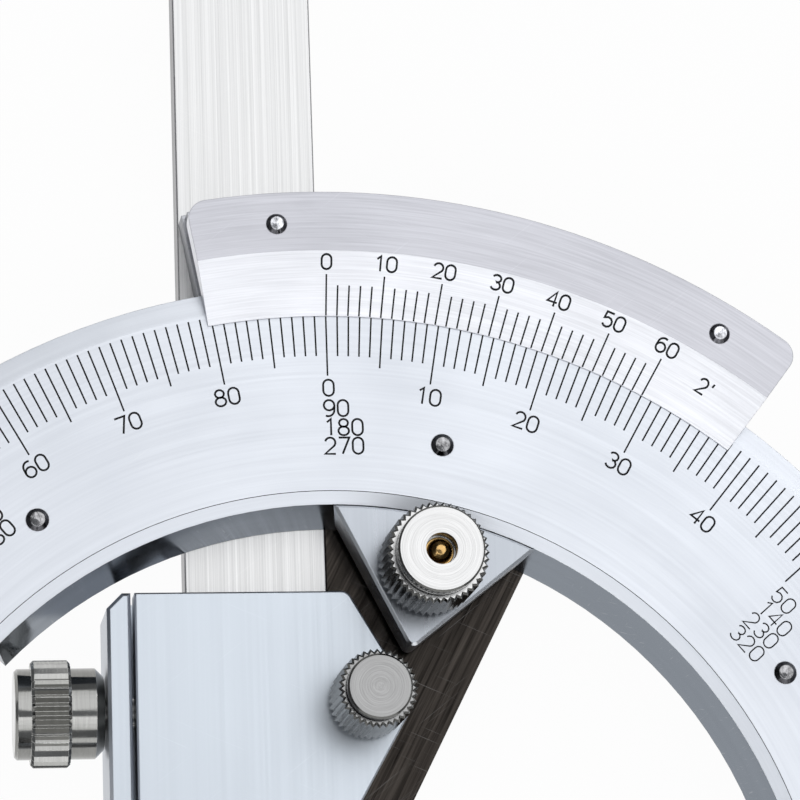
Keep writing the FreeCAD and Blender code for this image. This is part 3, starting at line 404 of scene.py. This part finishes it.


# The ring's inner wall is much darker than its face: painted shade.
set_finish(
    steel("scale_satin", (0.755, 0.785, 0.84), (0.22, 0.245, 0.28), 0.45,
          ("arc", (0, 0, 0), 3.0, 2.0), grain_shade=0.02, grain_depth=0.004, scratch=0.10,
          smudge_size=22.0, wall_roughness=0.20, level_from=0.3, level_to=0.6),
    "main_scale")
# The vernier's bevel is lighter than its flat rim: painted highlight.
set_finish(
    steel("vernier_satin", (0.54, 0.543, 0.585), (0.80, 0.81, 0.85), 0.36,
          ("arc", (0, 0, 0), 5.0, 6.0), grain_shade=0.07, grain_depth=0.012, scratch=0.2,
          smudge_size=16.0, wall_roughness=0.42, level_from=0.96, level_to=0.995),
    "vernier_plate")
# End faces darker than the tops: painted shade.
set_finish(
    steel("packing_steel", (0.50, 0.51, 0.54), (0.22, 0.23, 0.25), 0.35,
          ("arc", (0, 0, 0), 4.0, 6.0), grain_shade=0.10, scratch=0.2),
    "vernier_spacer", "vernier_support")
# The sides of the square and rules are darker than their tops: painted shade.
set_finish(
    steel("square_brushed", (0.71, 0.71, 0.71), (0.32, 0.32, 0.33), 0.36,
          ("straight", UP, RIGHT, 8.0, 60.0), grain_shade=0.14, grain_depth=0.02, scratch=0.10,
          smudge_rough=0.02),
    "square")
set_finish(
    steel("rule_brushed", (0.71, 0.71, 0.71), (0.46, 0.46, 0.47), 0.36,
          ("straight", RIGHT, UP, 8.0, 60.0), grain_shade=0.14, grain_depth=0.02, scratch=0.10,
          smudge_rough=0.02),
    "blade", "base_rule")
# Near-black face and strong streaks: partly the plate's own dark ground tone, partly painted dark
# reflection; walls lighter than the face: painted highlight.
set_finish(
    steel("plate_ground", (0.030, 0.026, 0.023), (0.12, 0.115, 0.11), 0.20,
          ("straight", ALONG_PLATE, ACROSS_PLATE, 4.0, 14.0), grain_shade=0.85,
          grain_depth=0.02, scratch=0.9, smudge_size=6.0, edge_wear_and_highlight=0.6, smudge_rough=0.08),
    "sector_plate", "sector_gear", "pinion_shaft", "sector_clamp_pad", "blade_clamp_pad")
# Walls a little darker than the tops: painted shade.
set_finish(
    steel("clamp_satin", (0.62, 0.67, 0.73), (0.52, 0.55, 0.60), 0.36,
          ("straight", UP, RIGHT, 3.0, 60.0), grain_shade=0.012, grain_depth=0.001, scratch=0.12,
          smudge_size=18.0, smudge_rough=0.03),
    "sector_clamp_cover", "sector_clamp_body", "blade_clamp_cover", "blade_clamp_body")
# The face is darkened partly as painted reflection, and the chamfers are lighter: painted highlight.
set_finish(
    steel("shoe_polished", (0.47, 0.50, 0.545), (0.60, 0.62, 0.65), 0.30,
          ("straight", UP, RIGHT, 3.0, 60.0), grain_shade=0.02, grain_depth=0.004, scratch=0.12,
          smudge_size=12.0, smudge_rough=0.03),
    "brake_shoe")
# How light the turned top of each knob is.
KNOB_FACES = {"brake_nut": 0.64, "sector_clamp_knob": 0.32, "blade_clamp_knob": 0.32, "pinion_knob": 0.60}
# The knurled walls are much darker than the tops: painted shade.
for knob, face in KNOB_FACES.items():
    set_finish(
        steel(knob + "_turned", (face, face, face), (0.11, 0.11, 0.105), 0.18,
              ("arc", axis_of(knob), 9.0, 0.6), grain_shade=0.12, grain_depth=0.01, scratch=0.1,
              smudge_size=5.0, edge_wear_and_highlight=0.45, edge_radius=0.05),
        knob)
# Bright ridge edges and dark walls on the side screws: painted highlight and painted shade.
set_finish(
    steel("side_screw_turned", (0.36, 0.36, 0.35), (0.26, 0.26, 0.25), 0.10,
          ("straight", UP, RIGHT, 6.0, 8.0), grain_shade=0.10, grain_depth=0.005, scratch=0.1,
          smudge_size=5.0, edge_wear_and_highlight=0.8, edge_radius=0.07, edge_colour=(0.80, 0.80, 0.78)),
    "sector_clamp_screw", "blade_clamp_screw")
# Fastener heads: bright tops and dark sides, a painted highlight and painted shade on the domes.
FASTENERS = [
    ("rivet_polished", (0.72, 0.73, 0.77), (0.10, 0.10, 0.11), 0.14,
     ["vernier_rivets", "vernier_screws", "base_rule_screws", "pinion_knob_screw",
      "sector_clamp_pins", "blade_clamp_pins"]),
    ("scale_rivet_polished", (0.34, 0.34, 0.35), (0.06, 0.06, 0.065), 0.12, ["scale_rivets"])]
for name, highlight_face_colour, shaded_side_colour, gloss, pieces in FASTENERS:
    set_finish(
        steel(name, highlight_face_colour, shaded_side_colour, gloss,
              ("straight", UP, RIGHT, 2.4, 0.6), grain_shade=0.85, grain_depth=0.03, scratch=0.0,
              smudge_rough=0.02),
        *pieces)
set_finish(
    steel("brass_polished", (0.62, 0.40, 0.16), (0.62, 0.40, 0.16), 0.16,
          ("straight", UP, RIGHT, 6.0, 3.0), grain_shade=0.10, grain_depth=0.01, scratch=0.2,
          edge_colour=(0.8, 0.6, 0.3)),
    "brake_stud", "pinion_bush")
set_finish(
    steel("spring_blued", (0.08, 0.09, 0.12), (0.08, 0.09, 0.12), 0.30,
          ("arc", axis_of("brake_spring"), 6.0, 1.0), grain_shade=0.15, edge_colour=(0.2, 0.2, 0.22)),
    "brake_spring")


INK_DARK = (0.006, 0.006, 0.007)
INK_LIGHT = (0.022, 0.022, 0.025)
INK_PATCH_MM = 0.6
INK_SPECULAR = 0.15


def engraved_black():
    """The dark filling of the graduations, a little uneven, as paint in a fine groove is."""
    material = bpy.data.materials.new("engraved_black")
    material.use_nodes = True
    tree = material.node_tree
    shader = tree.nodes["Principled BSDF"]
    shader.inputs["Specular IOR Level"].default_value = INK_SPECULAR
    marks = use_group(tree, handling, Smudge_size_mm=INK_PATCH_MM)
    tone = mix_colour(tree, marks.outputs["Smudge"], INK_DARK, INK_LIGHT)
    tree.links.new(tone, shader.inputs["Base Color"])
    tree.links.new(remap(tree, marks.outputs["Smudge"], 0, 1, 0.45, 0.65), shader.inputs["Roughness"])
    return material


black_fill = engraved_black()


# ---- Graduations and numerals --------------------------------------------------------

SCALE_FACE_MM = 0.0
VERNIER_EDGE_MM = 69.3
VERNIER_FLAT_MM = 75.9
VERNIER_LIP_MM = 0.17
VERNIER_TOP_MM = 2.45
INK_PROUD_MM = 0.012
INK_SUNK_MM = 0.010


def scale_level(_radius):
    """The level of the scale's face, which is the same at every radius."""
    return SCALE_FACE_MM


def vernier_level(radius):
    """The level of the vernier's bevel, which rises away from its edge."""
    share = (radius - VERNIER_EDGE_MM) / (VERNIER_FLAT_MM - VERNIER_EDGE_MM)
    return VERNIER_LIP_MM + share * (VERNIER_TOP_MM - VERNIER_LIP_MM)


def ribbon(mesh, points, width, level, closed=False):
    """A thin closed strip of ink along a line of (x, y) points in millimetres."""
    count = len(points)
    sides = []
    for index in range(count):
        before = points[index - 1] if (closed or index > 0) else points[index]
        after = points[(index + 1) % count] if (closed or index < count - 1) else points[index]
        into = Vector((points[index][0] - before[0], points[index][1] - before[1]))
        out = Vector((after[0] - points[index][0], after[1] - points[index][1]))
        if into.length < 1e-9:
            into = out.copy()
        if out.length < 1e-9:
            out = into.copy()
        into.normalize()
        out.normalize()
        across = Vector((-into.y - out.y, into.x + out.x)).normalized()
        reach = width / 2 / max(0.5, across.dot(Vector((-into.y, into.x))))
        sides.append((
            (points[index][0] + across.x * reach, points[index][1] + across.y * reach),
            (points[index][0] - across.x * reach, points[index][1] - across.y * reach)))
    rings = []
    for left, right in sides:
        ring = []
        for (x, y), offset in (
                (left, -INK_SUNK_MM), (right, -INK_SUNK_MM), (right, INK_PROUD_MM), (left, INK_PROUD_MM)):
            z = level(math.hypot(x, y)) + offset
            ring.append(mesh.verts.new((x * MM, y * MM, z * MM)))
        rings.append(ring)
    spans = count if closed else count - 1
    for index in range(spans):
        a, b = rings[index], rings[(index + 1) % count]
        for corner in range(4):
            following = (corner + 1) % 4
            mesh.faces.new((a[corner], a[following], b[following], b[corner]))
    if not closed:
        mesh.faces.new(rings[0][::-1])
        mesh.faces.new(rings[-1])


def arc(cx, cy, rx, ry, start, end, steps=8):
    """Points of an elliptical arc, angles in degrees, anticlockwise from +x."""
    points = []
    for step in range(steps + 1):
        turn = math.radians(start + (end - start) * step / steps)
        points.append((cx + rx * math.cos(turn), cy + ry * math.sin(turn)))
    return points


# One-line figures, one unit high and 0.64 wide: lists of (closed, points).
WIDE = 0.64
HALF = WIDE / 2
FIGURES = {
    "0": [(True, arc(HALF, 0.68, HALF, 0.32, 0, 180) + arc(HALF, 0.32, HALF, 0.32, 180, 360))],
    "1": [(False, [(0.16, 0.80), (0.40, 1.0), (0.40, 0.0)])],
    "2": [(False, arc(HALF, 0.69, HALF - 0.01, 0.31, 165, -35) + [(0.0, 0.0), (WIDE, 0.0)])],
    "3": [(False, arc(HALF, 0.75, 0.29, 0.25, 155, -80)
           + arc(HALF, 0.27, HALF, 0.27, 85, -155))],
    "4": [(False, [(0.48, 0.0), (0.48, 1.0), (0.0, 0.30), (WIDE + 0.02, 0.30)])],
    "5": [(False, [(0.58, 1.0), (0.08, 1.0), (0.04, 0.56)]
           + arc(HALF - 0.01, 0.33, HALF, 0.33, 130, -150))],
    "6": [(False, arc(HALF + 0.06, 0.62, HALF + 0.05, 0.38, 65, 180, 6) + [(0.0, 0.34)]
           + arc(HALF, 0.32, HALF, 0.32, 180, 530, 14))],
    "7": [(False, [(0.0, 1.0), (WIDE, 1.0), (0.22, 0.0)])],
    "8": [(True, arc(HALF, 0.76, 0.27, 0.24, -90, 270, 12)[:-1]),
          (True, arc(HALF, 0.27, HALF, 0.27, 90, 450, 14)[:-1])],
    "9": [(False, arc(HALF - 0.06, 0.38, HALF + 0.05, 0.38, 245, 360, 6) + [(WIDE, 0.66)]
           + arc(HALF, 0.68, HALF, 0.32, 0, 350, 14))],
    "'": [(False, [(0.16, 1.0), (0.12, 0.74)])],
}


FIGURE_GAP = 0.20
SAME_POINT_MM = 0.01


def write_figures(mesh, text, radius, angle, height, stroke, level, place="centre", stretch=1.0):
    """Write figures upright to the radius through their place.

    place is "centre" for figures centred on the angle, or how far left of it, in mm, they begin."""
    advance = height * (WIDE * stretch + FIGURE_GAP)
    width = advance * len(text) - height * FIGURE_GAP
    left = -width / 2 if place == "centre" else -place
    turn = math.radians(angle)
    for character in text:
        for closed, strokes in FIGURES[character]:
            points = []
            for x, y in strokes:
                along = left + x * height * stretch
                up = radius + (y - 0.5) * height
                points.append((
                    along * math.cos(turn) + up * math.sin(turn),
                    -along * math.sin(turn) + up * math.cos(turn)))
            cleaned = [points[0]]
            for point in points[1:]:
                if math.dist(point, cleaned[-1]) > SAME_POINT_MM:
                    cleaned.append(point)
            if closed and math.dist(cleaned[0], cleaned[-1]) < SAME_POINT_MM:
                cleaned.pop()
            ribbon(mesh, cleaned, stroke, level, closed)
        left += advance


LINE_STEPS = 4


def write_line(mesh, angle, low, high, stroke, level):
    """One radial graduation line."""
    turn = math.radians(angle)
    points = []
    for step in range(LINE_STEPS + 1):
        radius = low + (high - low) * step / LINE_STEPS
        points.append((radius * math.sin(turn), radius * math.cos(turn)))
    ribbon(mesh, points, stroke, level)


def finish_marks(mesh, name, body):
    """Turn a mesh of ink into a piece that rides on a body."""
    bmesh.ops.recalc_face_normals(mesh, faces=mesh.faces)
    data = bpy.data.meshes.new(name)
    mesh.to_mesh(data)
    mesh.free()
    data.materials.append(black_fill)
    piece = bpy.data.objects.new(name, data)
    bpy.context.scene.collection.objects.link(piece)
    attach(piece, body)


LINE_MM = 0.175
SCALE_LINE_TOP_MM = 70.2
SCALE_LINE_FOOT_MM = {1: 65.0, 5: 63.9, 10: 62.85}
SCALE_FIRST, SCALE_LAST = -40, 50
# A fine dark line painted along the edge where the inner bevel begins: painted shade at that edge.
BEVEL_SHADE_RADIUS_MM = 50.5
BEVEL_SHADE_LINE_MM = 0.07
BEVEL_SHADE_FROM, BEVEL_SHADE_TO, BEVEL_SHADE_STEP = -48, 83, 2

scale_lines = bmesh.new()
for degree in range(SCALE_FIRST, SCALE_LAST + 1):
    rank = 10 if degree % 10 == 0 else 5 if degree % 5 == 0 else 1
    write_line(scale_lines, degree, SCALE_LINE_FOOT_MM[rank], SCALE_LINE_TOP_MM, LINE_MM, scale_level)
bevel_shade_line = []
for degree in range(BEVEL_SHADE_FROM, BEVEL_SHADE_TO, BEVEL_SHADE_STEP):
    turn = math.radians(degree)
    bevel_shade_line.append((BEVEL_SHADE_RADIUS_MM * math.sin(turn), BEVEL_SHADE_RADIUS_MM * math.cos(turn)))
ribbon(scale_lines, bevel_shade_line, BEVEL_SHADE_LINE_MM, scale_level)
finish_marks(scale_lines, "scale_graduations", "scale")

FIGURE_MM = 1.75
FIGURE_STROKE_MM = 0.215
FINE_STROKE_MM = 0.15
SINGLE_RADIUS_MM = 61.5
QUARTER_TURN = 90
# Stacked figures at the start of each quarter: angle, rows, their radii, stroke, and how far they begin
# before the line.
STACKS = [
    (0, ["0", "90", "180", "270"], [61.55, 59.35, 57.3, 55.3], FIGURE_STROKE_MM, 0.5),
    (50, ["50", "140", "230", "320"], [61.3, 59.3, 57.3, 55.2], FINE_STROKE_MM, -0.1),
    (-40, ["50", "140", "230"], [61.55, 59.5, 57.5], FIGURE_STROKE_MM, -0.7)]

scale_figures = bmesh.new()
for degree in range(SCALE_FIRST + 10, SCALE_LAST, 10):
    if degree:
        write_figures(scale_figures, str(degree % QUARTER_TURN), SINGLE_RADIUS_MM, degree,
                      FIGURE_MM, FIGURE_STROKE_MM, scale_level)
for degree, rows, radii, stroke, start in STACKS:
    for text, radius in zip(rows, radii):
        write_figures(scale_figures, text, radius, degree, FIGURE_MM, stroke, scale_level, place=start)
finish_marks(scale_figures, "scale_numerals", "scale")

VERNIER_DIVISIONS = 30
VERNIER_SPAN = 29.0
LONG_EVERY = 5
MINUTES_PER_DIVISION = 2
VERNIER_LINE_FOOT_MM = VERNIER_EDGE_MM + 0.05
VERNIER_LONG_TOP_MM = 73.5
VERNIER_SHORT_TOP_MM = 72.4
VERNIER_FIGURE_RADIUS_MM = 74.75
VERNIER_FIGURE_MM = 1.5
VERNIER_FIGURE_STRETCH = 1.08
LEAST_COUNT = "2'"
LEAST_COUNT_RADIUS_MM = 73.2
LEAST_COUNT_ANGLE = 33.6
LEAST_COUNT_MM = 1.55

vernier_lines = bmesh.new()
vernier_figures = bmesh.new()
for division in range(VERNIER_DIVISIONS + 1):
    angle = VERNIER_SPAN * division / VERNIER_DIVISIONS
    long_line = division % LONG_EVERY == 0
    line_top = VERNIER_LONG_TOP_MM if long_line else VERNIER_SHORT_TOP_MM
    write_line(vernier_lines, angle, VERNIER_LINE_FOOT_MM, line_top, LINE_MM, vernier_level)
    if long_line:
        write_figures(vernier_figures, str(division * MINUTES_PER_DIVISION), VERNIER_FIGURE_RADIUS_MM,
                      angle, VERNIER_FIGURE_MM, FIGURE_STROKE_MM, vernier_level,
                      stretch=VERNIER_FIGURE_STRETCH)
write_figures(vernier_figures, LEAST_COUNT, LEAST_COUNT_RADIUS_MM, LEAST_COUNT_ANGLE,
              LEAST_COUNT_MM, FIGURE_STROKE_MM, vernier_level)
finish_marks(vernier_lines, "vernier_graduations", "carrier")
finish_marks(vernier_figures, "vernier_numerals", "carrier")


# ---- Stage, light and camera ---------------------------------------------------------

FLOOR_REACH = 3.0
FLOOR_CLEARANCE_MM = 0.05
FLOOR_GREY = (0.86, 0.86, 0.86, 1)
# How much of the floor's look is plain white rather than lit and shaded.
FLOOR_WHITE_SHARE = 0.96


def pale_floor():
    """A white floor that keeps a soft shadow."""
    low = Vector(cad_box[0]).z - FLOOR_CLEARANCE_MM * MM
    mesh = bmesh.new()
    corners = ((-1, -1), (1, -1), (1, 1), (-1, 1))
    mesh.faces.new([mesh.verts.new((x * FLOOR_REACH, y * FLOOR_REACH, low)) for x, y in corners])
    data = bpy.data.meshes.new("floor")
    mesh.to_mesh(data)
    mesh.free()
    floor = bpy.data.objects.new("floor", data)
    bpy.context.scene.collection.objects.link(floor)
    material = bpy.data.materials.new("pale_floor")
    material.use_nodes = True
    tree = material.node_tree
    shader = tree.nodes["Principled BSDF"]
    shader.inputs["Base Color"].default_value = FLOOR_GREY
    shader.inputs["Roughness"].default_value = 0.9
    shader.inputs["Specular IOR Level"].default_value = 0.0
    glow = tree.nodes.new("ShaderNodeEmission")
    glow.inputs["Strength"].default_value = 1.0
    path = tree.nodes.new("ShaderNodeLightPath")
    seen = math_node(tree, "MAXIMUM", path.outputs["Is Camera Ray"], path.outputs["Is Glossy Ray"])
    seen = math_node(tree, "MAXIMUM", seen, path.outputs["Is Transmission Ray"])
    share = math_node(tree, "MULTIPLY", seen, FLOOR_WHITE_SHARE)
    mix = tree.nodes.new("ShaderNodeMixShader")
    for index, output in enumerate((share, shader.outputs[0], glow.outputs[0])):
        tree.links.new(output, mix.inputs[index])
    tree.links.new(mix.outputs[0], tree.nodes["Material Output"].inputs["Surface"])
    data.materials.append(material)


# Each lamp: name, place, width, height and radiance.
LAMPS_AIM = (0.01, 0.05, 0.0)
LAMPS = [
    ("softbox_above", (0.29, 0.42, 1.0), 1.22, 1.0, 1.15),
    ("softbox_front", (-0.15, -0.56, 1.02), 1.6, 0.72, 1.5),
    ("softbox_low", (0.0, -1.2, 0.17), 2.3, 0.45, 1.3),
    ("key_upper_right", (0.95, 0.85, 0.75), 0.35, 0.35, 4.0)]
AIR_COLOUR = (0.93, 0.96, 1.0, 1)
AIR_STRENGTH = 0.25
CAMERA_PLACE = (-0.05007, -0.02924, 0.38042)
CAMERA_TURN_DEGREES = (13.384, -8.151, -2.029)
CAMERA_LENS_MM = 168.54
CAMERA_SENSOR_MM = 36.0
CAMERA_CLIP = (0.01, 20.0)


def place_in_scene(name, data, position):
    """An object that holds a lamp or the camera."""
    holder = bpy.data.objects.new(name, data)
    holder.location = position
    bpy.context.scene.collection.objects.link(holder)
    return holder


def softbox(name, position, width, height, radiance):
    """An area lamp of a given brightness, turned to the instrument."""
    lamp = bpy.data.lights.new(name, "AREA")
    lamp.shape = "RECTANGLE"
    lamp.size = width
    lamp.size_y = height
    lamp.energy = radiance * math.pi * width * height
    aim = Vector(LAMPS_AIM) - Vector(position)
    place_in_scene(name, lamp, position).rotation_euler = aim.to_track_quat("-Z", "Y").to_euler()


pale_floor()
for lamp_values in LAMPS:
    softbox(*lamp_values)

world = bpy.data.worlds.new("studio")
bpy.context.scene.world = world
world.use_nodes = True
air = world.node_tree.nodes["Background"]
air.inputs["Color"].default_value = AIR_COLOUR
air.inputs["Strength"].default_value = AIR_STRENGTH

camera = bpy.data.cameras.new("camera")
camera.sensor_width = CAMERA_SENSOR_MM
camera.lens = CAMERA_LENS_MM
camera.clip_start, camera.clip_end = CAMERA_CLIP
viewpoint = place_in_scene("camera", camera, CAMERA_PLACE)
viewpoint.rotation_euler = Euler([math.radians(turn) for turn in CAMERA_TURN_DEGREES], "XYZ")
bpy.context.scene.camera = viewpoint
bpy.context.scene.view_settings.view_transform = "Standard"
